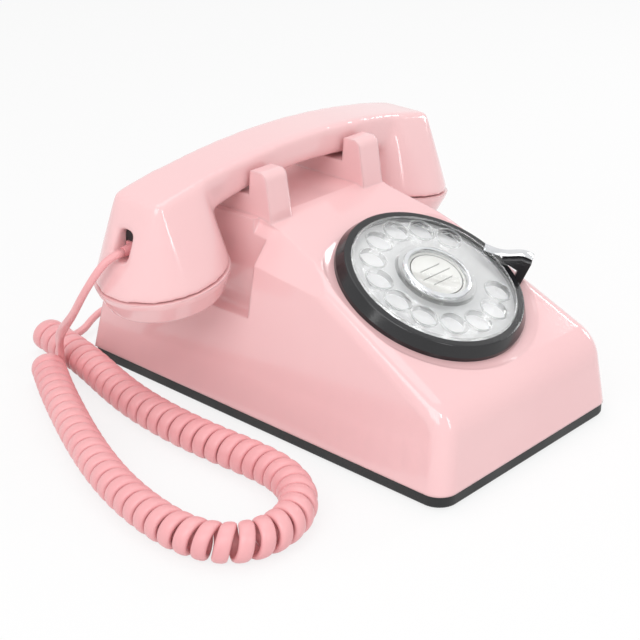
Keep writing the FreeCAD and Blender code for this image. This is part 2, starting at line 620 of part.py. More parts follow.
to_handset = Vector(0, size("handset_y"), 0)
shell = bar_form()
for side in (1, -1):
    shell = shell.fuse(end_form(side))
shell = shell.removeSplitter()
shell.translate(to_handset)
for side in (1, -1):
    bore = Part.makeCylinder(size("cup_bore"), size("bore_depth") + 1)
    bore.translate(Vector(0, 0, -1))
    bore.Placement = rim_frame(side).multiply(Placement(Vector(0, 0, -1), Rotation()))
    shell = shell.cut(bore)
socket_x = -size("socket_face_x")
pocket = Part.makeBox(60, size("socket_width"), size("socket_height"))
pocket.translate(Vector(socket_x - 60, size("socket_y") - size("socket_width") / 2,
                        size("socket_z") - size("socket_height") / 2))
seat_room = Part.makeBox(size("socket_depth"), size("socket_width"), size("socket_height"))
seat_room.translate(Vector(socket_x, size("socket_y") - size("socket_width") / 2,
                           size("socket_z") - size("socket_height") / 2))
part("handset_shell", coded(shell.cut(pocket).cut(seat_room)))
plug_half_y, plug_half_z = size("plug_width") / 2, size("plug_height") / 2
mouth = Part.makeBox(size("socket_depth") - 3, size("plug_width"), size("plug_height"))
mouth.translate(Vector(socket_x, size("socket_y") - plug_half_y, size("tail_z") - plug_half_z))
part("handset_socket", coded(seat_room.cut(mouth)))

for name, capsule, side in (("mouthpiece_cap", "transmitter_capsule", -1), ("earpiece_cap", "receiver_capsule", 1)):
    turn = "%d * rim_cant" % side
    where = dict(x="%d * cup_x" % side, y="handset_y", z="rim_z", axis=(0, 1, 0), angle=turn)
    cap = spin([
        ("0", "-cap_height"), ("cap_low_radius", "-cap_height", "2.5"), ("rim_radius - 0.6", "-2.6", "3"),
        ("rim_radius", "-0.05"), ("cup_bore", "-0.05"), ("capsule_radius + 0.2", "cap_wall - cap_height"),
        ("0", "cap_wall - cap_height"),
    ])
    sound = [drum("1.3", "9", x="7 * cos(60deg * %d)" % i, y="7 * sin(60deg * %d)" % i, z="-cap_height - 3")
             for i in range(6)]
    part(name, moved(cut(cap, group(*sound)), **where))
    part(capsule, moved(drum("capsule_radius", "capsule_thick", z="cap_wall - cap_height"), **where))

# Curly cord: a helix about a curve that lies on the table, with plain tails to both plugs.
COIL_ROUTE = [
    (-92, 104), (-102, 87), (-115, 62), (-127, 37), (-137, 13), (-144, -9), (-148, -30), (-149, -48),
    (-145, -63), (-136, -72), (-122, -75), (-107, -71), (-95, -61), (-87, -46), (-84, -28), (-83.5, -10),
    (-84, 10), (-86, 30), (-87, 48), (-86, 68), (-81, 92), (-76, 114), (-70, 132),
]


def route_curve(points):
    """Smooth curve drawn by control points, the first and last being its ends."""
    curve = Part.BSplineCurve()
    spans = len(points) - 2
    counts = [3] + [1] * (spans - 1) + [3]
    curve.buildFromPolesMultsKnots([Vector(x, y, size("axis_z")) for x, y in points], counts,
                                   [float(k) for k in range(spans + 1)], False, 2)
    return curve


def helix_point(curve, length, share):
    """Point and direction of the wire at a share of the coil's length."""
    spot = curve.parameterAtDistance(length * share)
    along = curve.tangent(spot)[0]
    left = Vector(-along.y, along.x, 0)
    turn = -2 * math.pi * size("coil_turns") * share
    radius = size("coil_radius")
    return curve.value(spot) + left * (radius * math.cos(turn)) + Vector(0, 0, radius * math.sin(turn))


def arc_from(start, heading, finish):
    """Arc between two points that leaves the first along a heading."""
    chord = finish - start
    unit = Vector(chord).normalize()
    rise = heading - unit * heading.dot(unit)
    if rise.Length < 1e-6:
        return Part.LineSegment(start, finish).toShape()
    angle = heading.getAngle(unit)
    middle = start + chord * 0.5 + rise.normalize() * (chord.Length / 2 * math.tan(angle / 2))
    return Part.Arc(start, middle, finish).toShape()


def biarc(start, heading, finish, arrival):
    """Two arcs that meet smoothly and carry one direction into the other."""
    gap = finish - start
    both = heading + arrival
    square = 2 * (1 - heading.dot(arrival))
    slope = gap.dot(both)
    reach = (-slope + math.sqrt(slope * slope + square * gap.dot(gap))) / square
    middle = (start + heading * reach + finish - arrival * reach) * 0.5
    after = (finish - arrival * reach - middle).normalize()
    return [arc_from(start, heading, middle), arc_from(middle, after, finish)]


def coil_path():
    """Straight lead, half turns as biarcs, straight lead."""
    curve = route_curve(COIL_ROUTE)
    length = curve.length()
    halves = int(math.ceil(size("coil_turns") * 2))
    step = 1e-4
    spots, headings = [], []
    for half in range(halves + 1):
        share = half / halves
        ahead = helix_point(curve, length, min(share + step, 1.0))
        behind = helix_point(curve, length, max(share - step, 0.0))
        spots.append(helix_point(curve, length, share))
        headings.append((ahead - behind).normalize())
    headings[0] = Vector(0, 0, -1)
    headings[-1].z = 0
    headings[-1].normalize()
    lead = size("wire")
    edges = [Part.LineSegment(spots[0] - headings[0] * lead, spots[0]).toShape()]
    for half in range(halves):
        edges += biarc(spots[half], headings[half], spots[half + 1], headings[half + 1])
    edges.append(Part.LineSegment(spots[-1], spots[-1] + headings[-1] * lead).toShape())
    ends = (spots[0] - headings[0] * lead, headings[0], spots[-1] + headings[-1] * lead, headings[-1])
    return Part.Wire(edges), ends


def tube(path, start, heading, radius):
    """Round wire carried along a path."""
    ring = Part.Wire([Part.Circle(start, heading, radius).toShape()])
    return path.makePipeShell([ring], True, False)


def tail_path(points):
    """Straight runs joined by tangent arcs as large as the runs allow."""
    spots = [Vector(*p) for p in points]
    edges, last, radii = [], spots[0], []
    for before, here, after in zip(spots, spots[1:], spots[2:]):
        back, on = before - here, after - here
        reach = 0.45 * min(back.Length, on.Length)
        back.normalize()
        on.normalize()
        half_turn = (math.pi - back.getAngle(on)) / 2
        radii.append(reach / math.tan(half_turn))
        first, second = here + back * reach, here + on * reach
        edges.append(Part.LineSegment(last, first).toShape())
        edges.append(arc_from(first, back * -1, second))
        last = second
    edges.append(Part.LineSegment(last, spots[-1]).toShape())
    print("tail radii", [round(r, 1) for r in radii])
    return Part.Wire(edges)


def least_gap(path, radius):
    """Smallest distance between turns, measured on points along the path."""
    points = path.discretize(Number=2400)
    step = path.Length / 2399
    skip = int(2.2 * math.pi * size("coil_radius") / 2 / step)
    least = 1e9
    for i in range(0, len(points), 2):
        for j in range(i + skip, min(i + 6 * skip, len(points))):
            least = min(least, points[i].distanceToPoint(points[j]))
    return least - 2 * radius


wire_radius = size("wire") / 2
coil_wire, (coil_start, coil_in, coil_end, coil_out) = coil_path()
coil = tube(coil_wire, coil_start, coil_in, wire_radius)
print("coil gap", round(least_gap(coil_wire, wire_radius), 2), "volume ratio",
      round(coil.Volume / (math.pi * wire_radius ** 2 * coil_wire.Length), 4), "length", round(coil_wire.Length))
part("curly_cord", coded(coil))
boot_end = Vector(-size("boot_x"), size("socket_y"), size("tail_z"))
lead_x, lead_y = coil_start.x, coil_start.y
TAIL_ROUTE = [
    tuple(boot_end), (-104, boot_end.y, boot_end.z), (-111.3, 41.6, 81.5), (-115.5, 45, 75.5), (-116.5, 51, 67.5),
    (-115.5, 59, 58.5), (-113, 68, 50.5), (-109, 77.5, 44), (-104, 86, 38.5), (-98, 93, 33.5), (-91.5, 98, 27.5),
    (lead_x, lead_y, 20.5), tuple(coil_start),
]
tail_wire = tail_path(TAIL_ROUTE)
part("handset_tail", coded(tube(tail_wire, boot_end, Vector(-1, 0, 0), wire_radius)))
jack_face = Vector(size("cord_jack_x"), size("half_depth") + size("boot_length"), size("jack_z"))
BASE_ROUTE = [
    tuple(coil_end), tuple(coil_end + coil_out * 9), (-50.5, 128.5, 4.2), (-43, 131, 7), (-35, 131, 10),
    (-28, 127, 12.6), (jack_face.x, 120, jack_face.z), tuple(jack_face),
]
base_wire = tail_path(BASE_ROUTE)
part("base_tail", coded(tube(base_wire, coil_end, coil_out, wire_radius)))


def plug(tip, direction, depth, boot):
    """Modular plug with a short boot; the cord leaves the boot's end."""
    body = Part.makeBox(depth, size("plug_width") - 0.4, size("plug_height") - 0.4)
    body.translate(Vector(-depth, -size("plug_width") / 2 + 0.2, -size("plug_height") / 2 + 0.2))
    sleeve = Part.makeCone(size("boot_radius"), wire_radius, boot, Vector(0, 0, 0), Vector(1, 0, 0))
    whole = body.fuse(sleeve)
    whole.Placement = Placement(tip - direction * boot, Rotation(Vector(1, 0, 0), direction))
    return whole


boot_reach = size("boot_x") - size("socket_face_x") - 1
part("handset_plug", coded(plug(boot_end, Vector(-1, 0, 0), size("socket_depth") - 4, boot_reach)))
part("base_plug", coded(plug(jack_face, Vector(0, 1, 0), size("jack_depth") - 6, size("boot_length"))))

doc.recompute()
for thing in doc.Objects:
    if "Invalid" in thing.State or "Error" in thing.State:
        raise RuntimeError("%s %s" % (thing.Name, thing.State))
for name, thing in parts.items():
    if thing.Shape.isNull() or not thing.Shape.isValid():
        raise RuntimeError("bad shape: " + name)
os.makedirs("parts", exist_ok=True)
for name, thing in parts.items():
    thing.Shape.exportStep("parts/%s.step" % name)
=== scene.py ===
import math

import bpy
import numpy as np
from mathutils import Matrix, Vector


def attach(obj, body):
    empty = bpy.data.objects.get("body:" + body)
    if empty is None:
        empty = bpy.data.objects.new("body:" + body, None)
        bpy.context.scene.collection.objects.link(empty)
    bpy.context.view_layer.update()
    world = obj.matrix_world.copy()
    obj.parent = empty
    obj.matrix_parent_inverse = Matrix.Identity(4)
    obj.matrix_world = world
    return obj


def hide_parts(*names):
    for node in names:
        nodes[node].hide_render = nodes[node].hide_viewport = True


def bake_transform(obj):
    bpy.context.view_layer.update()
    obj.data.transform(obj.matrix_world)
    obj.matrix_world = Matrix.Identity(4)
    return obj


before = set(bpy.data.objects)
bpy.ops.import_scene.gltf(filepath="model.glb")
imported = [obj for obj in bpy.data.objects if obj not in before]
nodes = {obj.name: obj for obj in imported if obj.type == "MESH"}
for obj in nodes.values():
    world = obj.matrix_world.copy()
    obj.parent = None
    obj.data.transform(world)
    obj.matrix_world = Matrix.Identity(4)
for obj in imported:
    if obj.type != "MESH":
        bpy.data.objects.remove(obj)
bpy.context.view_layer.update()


# Base plate: a flat tray moulded in black plastic that closes the phone from below, with a black band round
# its edge, flush with the housing; below the tray's underside the band is painted shade, black down to 1 mm
# over the floor where the gap under the phone lies in shadow. Four rubber feet are pressed into it and four
# steel screws hold it to the housing.
MM = 0.001
COLOUR_RANGE = (0.3, 0.72)
ROUGHNESS_RANGE = (0.3, 0.7)
CLOUD_DETAIL = 4
SKIN_DETAIL = 2
SKIN_DEPTH = 0.2


def linear(seen_colour):
    """Colour as the eye sees it, 0 to 255, turned into the light values a shader takes."""
    seen = np.array(seen_colour) / 255
    return (*np.where(seen <= 0.04045, seen / 12.92, ((seen + 0.055) / 1.055) ** 2.4), 1.0)


def moulded(name, tone, deep_tone, roughness, drift, grain, relief, **sockets):
    """Finish of a moulded or pressed surface.

    Slow noise of scale drift moves the colour from tone to deep_tone and the roughness over its range.
    Fine noise of scale grain is the relief of the mould's own skin.
    """
    finish = bpy.data.materials.new(name)
    finish.use_nodes = True
    tree = finish.node_tree
    shader = tree.nodes["Principled BSDF"]
    place = tree.nodes.new("ShaderNodeTexCoord")
    cloud = tree.nodes.new("ShaderNodeTexNoise")
    cloud.inputs["Scale"].default_value = drift
    cloud.inputs["Detail"].default_value = CLOUD_DETAIL
    tree.links.new(place.outputs["Object"], cloud.inputs["Vector"])
    colour = tree.nodes.new("ShaderNodeValToRGB")
    for stop, position, shown in zip(colour.color_ramp.elements, COLOUR_RANGE, (tone, deep_tone)):
        stop.position = position
        stop.color = linear(shown)
    tree.links.new(cloud.outputs["Fac"], colour.inputs["Fac"])
    tree.links.new(colour.outputs["Color"], shader.inputs["Base Color"])
    gloss = tree.nodes.new("ShaderNodeMapRange")
    gloss.inputs["From Min"].default_value, gloss.inputs["From Max"].default_value = ROUGHNESS_RANGE
    gloss.inputs["To Min"].default_value, gloss.inputs["To Max"].default_value = roughness
    tree.links.new(cloud.outputs["Fac"], gloss.inputs["Value"])
    tree.links.new(gloss.outputs["Result"], shader.inputs["Roughness"])
    skin = tree.nodes.new("ShaderNodeTexNoise")
    skin.inputs["Scale"].default_value = grain
    skin.inputs["Detail"].default_value = SKIN_DETAIL
    tree.links.new(place.outputs["Object"], skin.inputs["Vector"])
    bump = tree.nodes.new("ShaderNodeBump")
    bump.inputs["Strength"].default_value = relief
    bump.inputs["Distance"].default_value = SKIN_DEPTH * MM
    tree.links.new(skin.outputs["Fac"], bump.inputs["Height"])
    tree.links.new(bump.outputs["Normal"], shader.inputs["Normal"])
    for socket, value in sockets.items():
        shader.inputs[socket.replace("_", " ")].default_value = value
    return finish


def dress(finish, *names):
    """Gives each named solid this finish in place of the one it came with."""
    for name in names:
        nodes[name].data.materials.clear()
        nodes[name].data.materials.append(finish)


base_black = moulded("base_black", (30, 31, 32), (18, 19, 20), (0.38, 0.55), drift=30, grain=2600,
                     relief=0.35)
foot_rubber = moulded("foot_rubber", (34, 33, 33), (22, 22, 22), (0.75, 0.9), drift=60, grain=1800,
                      relief=0.5)
screw_steel = moulded("screw_steel", (196, 196, 194), (160, 160, 158), (0.22, 0.4), drift=300, grain=900,
                      relief=0.15, Metallic=1.0)
dress(base_black, "base_plate")
dress(foot_rubber, "base_feet")
dress(screw_steel, "base_screws")

PLATE_HALF_SIZE = (59.05, 105.05)
PLATE_CORNER = 10
SKIRT_HALF_SIZE = (60.5, 106.5)
SKIRT_FRONT_CORNER = 8.5
SKIRT_REAR_CORNER = 1.5
# Section of the band as share of the way out and height in mm; the part below the plate's underside at 3 mm
# is painted shade, standing where the gap under the phone lies in shadow.
SKIRT_AND_SHADE_SECTION = [(1, 6.4), (1, 1.9), (0.85, 1.3), (0.5, 1.0), (0, 1.0), (0, 6.4)]
CORNER_POINTS = 14


def rounded_plan(half_x, half_y, front_corner, rear_corner):
    """Rectangle with rounded corners, seen from above, with as many points on each corner.

    A corner's point is its centre plus its radius times (cos a, sin a), with a over a quarter turn.
    """
    a = np.radians(np.linspace(0, 90, CORNER_POINTS) + np.array([0, 90, 180, 270])[:, None])
    corner = np.array([rear_corner, rear_corner, front_corner, front_corner])[:, None]
    x = np.array([1, -1, -1, 1])[:, None] * (half_x - corner) + corner * np.cos(a)
    y = np.array([1, 1, -1, -1])[:, None] * (half_y - corner) + corner * np.sin(a)
    return np.stack([x, y], axis=-1).reshape(-1, 2)


def skirt_band(inner, outer, section):
    """Closed section carried round a plan: each of its points is a share of the way out, and a height."""
    share, height = np.array(section).T
    plan = inner[:, None] + share[None, :, None] * (outer - inner)[:, None]
    tall = np.broadcast_to(height[None, :, None], (*plan.shape[:2], 1))
    spot = np.arange(plan.shape[0] * plan.shape[1]).reshape(plan.shape[:2])
    down = np.roll(spot, -1, axis=1)
    ahead = np.roll(spot, -1, axis=0)
    both = np.roll(down, -1, axis=0)
    return (np.concatenate([plan, tall], axis=-1).reshape(-1, 3) * MM,
            np.stack([spot, down, both, ahead], axis=-1).reshape(-1, 4).tolist())


def new_piece(name, points, faces, finish, smooth):
    """Mesh object at the origin with these points and faces."""
    mesh = bpy.data.meshes.new(name)
    mesh.from_pydata(points.tolist(), [], faces)
    mesh.polygons.foreach_set("use_smooth", np.full(len(mesh.polygons), smooth))
    mesh.materials.append(finish)
    mesh.update()
    piece = bpy.data.objects.new(name, mesh)
    bpy.context.scene.collection.objects.link(piece)
    return piece


points, faces = skirt_band(rounded_plan(*PLATE_HALF_SIZE, PLATE_CORNER, PLATE_CORNER),
                           rounded_plan(*SKIRT_HALF_SIZE, SKIRT_FRONT_CORNER, SKIRT_REAR_CORNER),
                           SKIRT_AND_SHADE_SECTION)
skirt_and_shade = new_piece("base_skirt_and_shade", points, faces, base_black, smooth=False)
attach(skirt_and_shade, "base")


# Circuit board: a green lacquered board on four posts of the base plate, with its large parts in
# black plastic soldered to it.
board_green = moulded("board_green", (38, 96, 62), (28, 78, 50), (0.35, 0.5), drift=120, grain=1500,
                      relief=0.2)
part_black = moulded("part_black", (44, 44, 46), (30, 30, 32), (0.4, 0.6), drift=90, grain=1600, relief=0.2)
dress(board_green, "circuit_board")
dress(part_black, "board_parts")


# Ringer: two spun brass gongs on the stalks of a pressed steel frame, with a copper coil and a
# hammer that swings on a pin between them. The frame lies on the base plate.
gong_brass = moulded("gong_brass", (214, 178, 104), (190, 150, 82), (0.2, 0.38), drift=80, grain=1200,
                     relief=0.1, Metallic=1.0)
works_steel = moulded("works_steel", (190, 191, 192), (164, 165, 167), (0.28, 0.45), drift=70, grain=1400,
                      relief=0.15, Metallic=1.0)
coil_copper = moulded("coil_copper", (196, 122, 84), (168, 96, 62), (0.3, 0.45), drift=60, grain=2400,
                      relief=0.5, Metallic=1.0)
dress(gong_brass, "gong_right", "gong_left")
dress(works_steel, "ringer_frame", "clapper_pin", "ringer_clapper")
dress(coil_copper, "ringer_coil")


# Jacks: two sockets moulded in black plastic, one for the curly cord and one for the line. Each
# sits in a hole of its own size in the back wall.
dress(part_black, "cord_jack", "line_jack")


# Housing: one thick moulding in glossy pink plastic, with the sloped face, the round dish of
# the dial, the pockets under the handset and the cradle ears all part of it.
pink_gloss = moulded("pink_gloss", (242, 198, 199), (239, 193, 195), (0.09, 0.13), drift=14, grain=700,
                     relief=0.02, Coat_Weight=0.35, Coat_Roughness=0.04)
dress(pink_gloss, "housing")
PINK_EDGE_RADIUS = 1.6
EDGE_SAMPLES = 8


def eased_edges(finish, radius):
    """Turns the light on a finish's sharp edges as a rounding of this radius would."""
    tree = finish.node_tree
    edge = tree.nodes.new("ShaderNodeBevel")
    edge.samples = EDGE_SAMPLES
    edge.inputs["Radius"].default_value = radius
    tree.links.new(edge.outputs["Normal"], tree.nodes["Bump"].inputs["Normal"])


eased_edges(pink_gloss, PINK_EDGE_RADIUS * MM)


# Hook plungers: two ivory plastic pins that stand up between the cradle ears, joined by one bar.
# They slide in holes in the saddle and work the black switch that hangs under it.
plunger_ivory = moulded("plunger_ivory", (236, 232, 226), (222, 218, 212), (0.2, 0.32), drift=40, grain=900,
                        relief=0.08)
dress(plunger_ivory, "plunger_right", "plunger_left", "plunger_bar")
dress(part_black, "hook_switch")


# Dial works: a steel chassis under the number plate, with the spindle, the brass gear on it, and
# the governor that the gear drives in its cup. Leaf contacts beside it make the pulses.
dress(works_steel, "dial_chassis", "dial_spindle", "governor_shaft", "governor_cup", "pulse_contacts")
dress(gong_brass, "main_gear", "governor_pinion", "governor_weights")


# Dial bezel and number plate: a black ring with a rounded shoulder, seated in the dish, and the
# white plate pressed into it that the finger holes look down on.
bezel_black = moulded("bezel_black", (31, 31, 33), (22, 23, 25), (0.12, 0.2), drift=40, grain=1100,
                      relief=0.06)
plate_white = moulded("plate_white", (250, 250, 250), (240, 241, 242), (0.22, 0.34), drift=50, grain=1300,
                      relief=0.06)
dress(bezel_black, "dial_bezel")
dress(plate_white, "number_plate")


# Finger wheel: a clear plastic disc with twelve holes and stepped rings round its hub. A chrome
# ring holds a paper card under a clear window, and the wheel is fixed to the spindle.
wheel_clear = moulded("wheel_clear", (252, 252, 252), (246, 248, 248), (0.03, 0.07), drift=60, grain=500,
                      relief=0.04, Transmission_Weight=1.0, IOR=1.47, Alpha=0.62)
window_clear = moulded("window_clear", (254, 254, 254), (250, 251, 251), (0.02, 0.05), drift=60, grain=500,
                       relief=0.02, Transmission_Weight=1.0, IOR=1.3, Alpha=0.25)
ring_chrome = moulded("ring_chrome", (232, 233, 235), (216, 218, 221), (0.05, 0.12), drift=90, grain=600,
                      relief=0.04, Metallic=1.0)
card_paper = moulded("card_paper", (250, 250, 247), (242, 242, 238), (0.55, 0.7), drift=120, grain=2200,
                     relief=0.15)
dress(wheel_clear, "finger_wheel")
dress(window_clear, "card_window")
dress(ring_chrome, "hub_ring")
dress(card_paper, "number_card")

DIAL_CENTRE = np.array([0, -52.5, 70.6])
DIAL_TILT = math.radians(25.5)
HOLES = 12
HOLE_CIRCLE = 28.8
HOLE_RADIUS = 5.7
FIRST_HOLE = 30
HOLE_STEP = 26
RIM_TUBE = 0.42
RIM_POINTS = 40
RIM_TUBE_SIDES = 8


def on_dial(flat):
    """Points of the dial's flat frame, in mm, turned by its tilt about X and put at its centre, in m."""
    across, up, out = flat[..., 0], flat[..., 1], flat[..., 2]
    rise = np.stack([across, up * math.cos(DIAL_TILT) - out * math.sin(DIAL_TILT),
                     up * math.sin(DIAL_TILT) + out * math.cos(DIAL_TILT)], axis=-1)
    return (rise + DIAL_CENTRE) * MM


def hole_rims():
    """One ring of round section per finger hole.

    A point is the hole's centre plus (hole radius + tube + tube * cos b) in the direction a, and
    tube * sin b out of the wheel, where a runs round the hole and b round the tube.
    """
    hole = np.radians(FIRST_HOLE + HOLE_STEP * np.arange(HOLES))[:, None, None]
    a = np.linspace(0, 2 * math.pi, RIM_POINTS, endpoint=False)[None, :, None]
    b = np.linspace(0, 2 * math.pi, RIM_TUBE_SIDES, endpoint=False)[None, None, :]
    reach = HOLE_RADIUS + RIM_TUBE + RIM_TUBE * np.cos(b)
    flat = np.stack(np.broadcast_arrays(HOLE_CIRCLE * np.cos(hole) + reach * np.cos(a),
                                        HOLE_CIRCLE * np.sin(hole) + reach * np.sin(a),
                                        RIM_TUBE * np.sin(b)), axis=-1)
    spot = np.arange(flat[..., 0].size).reshape(flat.shape[:3])
    ahead = np.roll(spot, -1, axis=1)
    over = np.roll(spot, -1, axis=2)
    both = np.roll(ahead, -1, axis=2)
    return on_dial(flat).reshape(-1, 3), np.stack([spot, ahead, both, over], axis=-1).reshape(-1, 4).tolist()


points, faces = hole_rims()
rims = new_piece("hole_rims", points, faces, wheel_clear, smooth=True)
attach(rims, "dial")

CARD_INK = (34, 34, 36)
CARD_RING_RADIUS = 12.1
CARD_RING_HALF = 0.22
RULED_LINES = [(4.2, 6.5), (0.0, 9.0), (-4.2, 6.5)]
RULED_HALF = 0.16


def printed(finish, ink):
    """Prints a plain ring and three ruled writing lines on a card, measured from the dial's centre."""
    tree = finish.node_tree
    place = tree.nodes.new("ShaderNodeMapping")
    place.vector_type = "TEXTURE"
    place.inputs["Location"].default_value = tuple(DIAL_CENTRE * MM)
    place.inputs["Rotation"].default_value = (DIAL_TILT, 0, 0)
    tree.links.new(tree.nodes["Texture Coordinate"].outputs["Object"], place.inputs["Vector"])
    flat = tree.nodes.new("ShaderNodeSeparateXYZ")
    tree.links.new(place.outputs["Vector"], flat.inputs[0])

    def step(operation, *values):
        """One sum on numbers or on the results of other sums."""
        sum_node = tree.nodes.new("ShaderNodeMath")
        sum_node.operation = operation
        for slot, value in enumerate(values):
            if isinstance(value, float):
                sum_node.inputs[slot].default_value = value
            else:
                tree.links.new(value, sum_node.inputs[slot])
        return sum_node.outputs[0]

    across, up = flat.outputs["X"], flat.outputs["Y"]
    reach = step("SQRT", step("ADD", step("MULTIPLY", across, across), step("MULTIPLY", up, up)))
    mark = step("COMPARE", reach, CARD_RING_RADIUS * MM, CARD_RING_HALF * MM)
    for height, half_length in RULED_LINES:
        line = step("COMPARE", up, height * MM, RULED_HALF * MM)
        mark = step("MAXIMUM", mark, step("MULTIPLY", line, step("COMPARE", across, 0.0, half_length * MM)))
    tinted = tree.nodes.new("ShaderNodeMix")
    tinted.data_type = "RGBA"
    tinted.inputs["B"].default_value = linear(ink)
    tree.links.new(mark, tinted.inputs["Factor"])
    tree.links.new(tree.nodes["Color Ramp"].outputs["Color"], tinted.inputs["A"])
    tree.links.new(tinted.outputs["Result"], tree.nodes["Principled BSDF"].inputs["Base Color"])


printed(card_paper, CARD_INK)


# Finger stop: a wavy blade of chromed metal on a dark wedge-shaped post at the right of the rim.
# The post is fixed to the housing and the blade reaches in over the wheel.
post_black = moulded("post_black", (46, 46, 48), (34, 34, 36), (0.25, 0.35), drift=60, grain=1200,
                     relief=0.08)
stop_chrome = moulded("stop_chrome", (226, 227, 229), (206, 208, 211), (0.06, 0.14), drift=120, grain=500,
                      relief=0.05, Metallic=1.0)
dress(post_black, "stop_post")

STOP_LINE = [(-6.4, 6.9), (-3.6, 7.2), (-0.8, 6.6), (2, 4.9), (4.8, 3.2), (8, 2.0), (11.5, 1.65), (15, 1.55)]
STOP_HALF_WIDTH = 2.5
STOP_HALF_THICK = 0.65
STOP_SIDES = 24
OVAL_POWER = 0.8
STOP_FINENESS = 8
STOP_PLACE = np.array([43, -11, 0])
STOP_TURN = math.radians(120.9)


def drawn_line(name, points, fineness):
    """Points along a NURBS spline of order 3 that has these control points, in metres."""
    line = bpy.data.curves.new(name, "CURVE")
    line.dimensions = "3D"
    spline = line.splines.new("NURBS")
    spline.points.add(len(points) - 1)
    spline.points.foreach_set("co", np.column_stack([points, np.ones(len(points))]).ravel())
    spline.order_u = 3
    spline.use_endpoint_u = True
    spline.resolution_u = fineness
    holder = bpy.data.objects.new(name, line)
    sampled = bpy.data.meshes.new_from_object(holder)
    found = np.empty(len(sampled.vertices) * 3)
    sampled.vertices.foreach_get("co", found)
    bpy.data.objects.remove(holder)
    bpy.data.curves.remove(line)
    bpy.data.meshes.remove(sampled)
    return found.reshape(-1, 3)


def along_line(points):
    """Unit direction of a line of points, by central differences."""
    step = np.gradient(points, axis=0)
    return step / np.linalg.norm(step, axis=1, keepdims=True)


def carried_oval(line, broad_way, half_width, half_thick, sides):
    """Flat oval carried along a line, its long side kept as near as it can be to broad_way.

    A section point is half_width times cos and half_thick times sin of its angle, each to the
    power OVAL_POWER with its sign kept, which flattens the oval's faces.
    """
    ahead = along_line(line)
    wide = broad_way - ahead * np.sum(broad_way * ahead, axis=1, keepdims=True)
    wide /= np.linalg.norm(wide, axis=1, keepdims=True)
    thick = np.cross(ahead, wide)
    angle = np.linspace(0, 2 * math.pi, sides, endpoint=False)
    across = np.sign(np.cos(angle)) * np.abs(np.cos(angle)) ** OVAL_POWER * half_width[:, None]
    up = half_thick * np.sign(np.sin(angle)) * np.abs(np.sin(angle)) ** OVAL_POWER
    rings = line[:, None] + across[:, :, None] * wide[:, None] + up[None, :, None] * thick[:, None]
    start = np.arange(len(line) - 1)[:, None] * sides
    side = np.arange(sides)
    after = (side + 1) % sides
    walls = np.stack([start + side, start + after, start + sides + after, start + sides + side], axis=-1)
    ends = [list(side[::-1]), list(side + (len(line) - 1) * sides)]
    return rings.reshape(-1, 3), walls.reshape(-1, 4).tolist() + ends


stop_along = np.array([math.cos(STOP_TURN), math.sin(STOP_TURN), 0])
stop_across = np.array([-math.sin(STOP_TURN), math.cos(STOP_TURN), 0])
stop_points = on_dial(np.array([STOP_PLACE + x * stop_along + np.array([0, 0, z]) for x, z in STOP_LINE]))
stop_line = drawn_line("stop_line", stop_points, STOP_FINENESS)
stop_broad = np.tile(on_dial(stop_across) - on_dial(np.zeros(3)), (len(stop_line), 1)) / MM
points, faces = carried_oval(stop_line, stop_broad, np.full(len(stop_line), STOP_HALF_WIDTH * MM),
                             STOP_HALF_THICK * MM, STOP_SIDES)
blade = new_piece("stop_blade", points, faces, stop_chrome, smooth=True)
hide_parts("finger_stop")
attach(blade, "base")


# Handset: a hollow bar in the housing's glossy pink plastic with a round cup at each end. A screwed
# cap closes each cup over its steel capsule, and a black socket sits in the end for the cord.
HANDSET_VOXEL = 0.9
SOFTENING_ROUNDS = 56
SOFTENING_SHARE = 0.5
dress(pink_gloss, "handset_shell", "mouthpiece_cap", "earpiece_cap")
dress(works_steel, "transmitter_capsule", "receiver_capsule")
dress(part_black, "handset_socket")
even_skin = nodes["handset_shell"].modifiers.new("even_skin", "REMESH")
even_skin.mode = "VOXEL"
even_skin.voxel_size = HANDSET_VOXEL * MM
even_skin.use_smooth_shade = True
soft_edges = nodes["handset_shell"].modifiers.new("soft_edges", "SMOOTH")
soft_edges.factor = SOFTENING_SHARE
soft_edges.iterations = SOFTENING_ROUNDS


# Curly cord: flat pink PVC cable from the handset's socket to the jack in the back, wound into a
# coil for most of its length. It lies loose on the table in one long bend beside the phone.
COIL_ROUTE = [(-92, 104), (-102, 87), (-115, 62), (-127, 37), (-137, 13), (-144, -9),
              (-148, -30), (-149, -48), (-145, -63), (-136, -72), (-122, -75), (-107, -71),
              (-96, -61), (-90, -46), (-89.5, -28), (-91, -9), (-91.5, 11), (-90.5, 31),
              (-88, 50), (-83.5, 69), (-77.5, 90), (-73, 112), (-70, 132)]
COIL_HEIGHT = 8.3
COIL_RADIUS = 6.45
COIL_TURNS = 60.25
COIL_FINENESS = 40
POINTS_A_TURN = 20
HANDSET_RUN = [(-96, 40.5, 84.5), (-102, 41, 84), (-106.8, 43, 79.5), (-108.8, 48, 71.5), (-108.5, 54.5, 63),
               (-106.5, 62, 54), (-103.3, 71, 45.5), (-99.5, 80, 38), (-95.5, 88, 31), (-91, 95, 25),
               (-87.9, 99.2, 19), (-86.8, 100.4, 14), (-86.5, 100.7, 10.6)]
COIL_LEAD_OUT = (4, 9)
BASE_RUN = [(-50.5, 128.5, 4.2), (-43, 131, 7), (-35, 131, 10), (-28, 127, 12.6),
            (-24, 120, 14), (-24, 112, 14)]
HANDSET_BROAD_WAY = np.array([0.74, 0.68, 0.0])
BASE_BROAD_WAY = np.array([1.0, 0.0, 0.0])
CABLE_HALF_WIDTH = 3.2
PITCH_FILLED = 0.46
TAIL_HALF_WIDTH = 2.1
HANDSET_FLARE_POWER = 4
BASE_FLARE_RATE = 3
CABLE_HALF_THICK = 1.7
CABLE_SIDES = 14
CABLE_FINENESS = 3
cord_pvc = moulded("cord_pvc", (240, 176, 178), (233, 165, 168), (0.3, 0.42), drift=40, grain=1500,
                   relief=0.06)
plug_pink = moulded("plug_pink", (232, 160, 164), (222, 146, 150), (0.2, 0.3), drift=40, grain=900,
                    relief=0.05)


